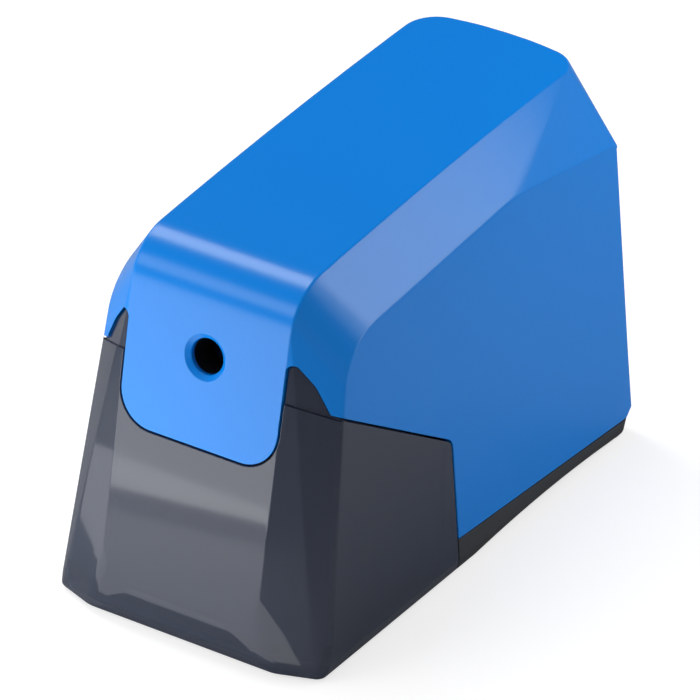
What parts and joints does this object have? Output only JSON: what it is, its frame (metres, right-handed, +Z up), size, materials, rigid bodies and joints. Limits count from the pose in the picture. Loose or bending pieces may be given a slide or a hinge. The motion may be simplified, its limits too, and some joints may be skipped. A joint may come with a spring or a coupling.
{
  "type": "electric pencil sharpener",
  "caption": "Compact electric desktop pencil sharpener: blue wedge-shouldered housing, front pencil hole, slide-out smoke shavings bin, helical cutter head and motor drive inside.",
  "frame": {"origin": "centre of the overall box at the undersides of the feet, on the table", "axes": "+X across to the right as seen from the front, -Y is the front with the pencil hole, +Z up"},
  "size_m": [0.0748, 0.14, 0.0986],
  "materials": {
    "blue_abs": "moulded, satin gloss",
    "smoke_ps": "tinted, polished",
    "charcoal_abs": "moulded, fine texture",
    "foot_rubber": "matt",
    "black_nylon": "moulded",
    "frame_abs": "moulded",
    "acetal": "moulded",
    "bronze": "sintered, oiled",
    "zinc": "die cast",
    "tool_steel": "ground",
    "bright_steel": "ground",
    "zinc_plated_steel": "zinc plated",
    "spring_steel": "black oxide",
    "brass": "machined",
    "circuit_board": "solder resist",
    "black_epoxy": "moulded"
  },
  "bodies": {
    "shell": {"base": "charcoal_abs", "rubber_feet": "foot_rubber", "housing": "blue_abs", "pencil_guide": "black_nylon", "drive_frame": "frame_abs", "ring_gear": "acetal", "front_bearing": "bronze", "rear_bearing": "bronze", "idler_pin": "bright_steel", "motor_plate": "zinc_plated_steel", "plate_screws": "zinc_plated_steel", "motor_can": "zinc_plated_steel", "motor_end_cap": "black_nylon", "motor_terminals": "brass", "motor_screws": "zinc_plated_steel", "start_switch": "black_nylon", "interlock_switch": "black_nylon", "rectifier_board": "circuit_board", "board_parts": "black_epoxy", "board_screws": "zinc_plated_steel", "frame_screws": "zinc_plated_steel", "housing_screws": "zinc_plated_steel", "cord_gland": "foot_rubber"},
    "carrier": {"cutter_carrier": "zinc", "cutter_axle": "bright_steel", "drive_gear": "acetal", "shaft_clip": "spring_steel"},
    "cutter": {"helical_cutter": "tool_steel", "cutter_pinion": "bright_steel"},
    "idler": {"idler_gear": "acetal"},
    "rotor": {"motor_rotor": "bright_steel", "motor_pinion": "brass"},
    "bin": {"shavings_bin": "smoke_ps"},
    "lever": {"start_lever": "acetal"},
    "plunger": {"interlock_plunger": "acetal"}
  },
  "joints": [
    {"name": "carrier_spin", "type": "hinge", "parent": "shell", "child": "carrier", "pos_m": [0, -0.02803, 0.06507], "axis": [0, 0.9796, -0.2011], "continuous": true},
    {"name": "cutter_spin", "type": "hinge", "parent": "carrier", "child": "cutter", "pos_m": [0, -0.0389, 0.05587], "axis": [0, 1, -0.0017], "continuous": true},
    {"name": "idler_spin", "type": "hinge", "parent": "shell", "child": "idler", "pos_m": [0.00798, 0.0016, 0.03534], "axis": [0, 0.9796, -0.2011], "continuous": true},
    {"name": "motor_spin", "type": "hinge", "parent": "shell", "child": "rotor", "pos_m": [-0.00503, 0.01905, 0.04575], "axis": [0, 0.9796, -0.2011], "continuous": true},
    {"name": "bin_slide", "type": "slide", "parent": "shell", "child": "bin", "axis": [0, -1, 0], "range_m": [0, 0.062]},
    {"name": "start_lever_swing", "type": "hinge", "parent": "shell", "child": "lever", "pos_m": [0.01, -0.04385, 0.07852], "axis": [0, 0.9796, -0.2011], "range_deg": [0, 12], "stiffness_Nm_per_rad": 0.01, "springref_deg": -8.59},
    {"name": "interlock_slide", "type": "slide", "parent": "shell", "child": "plunger", "axis": [0, -0.9796, 0.2011], "range_m": [0, 0.0024]}
  ],
  "couplings": [
    {"joint": "cutter_spin", "follows": "carrier_spin", "ratio": -3},
    {"joint": "idler_spin", "follows": "carrier_spin", "ratio": -4},
    {"joint": "motor_spin", "follows": "carrier_spin", "ratio": 14},
    {"joint": "interlock_slide", "follows": "bin_slide", "ratio": 0.0384}
  ]
}
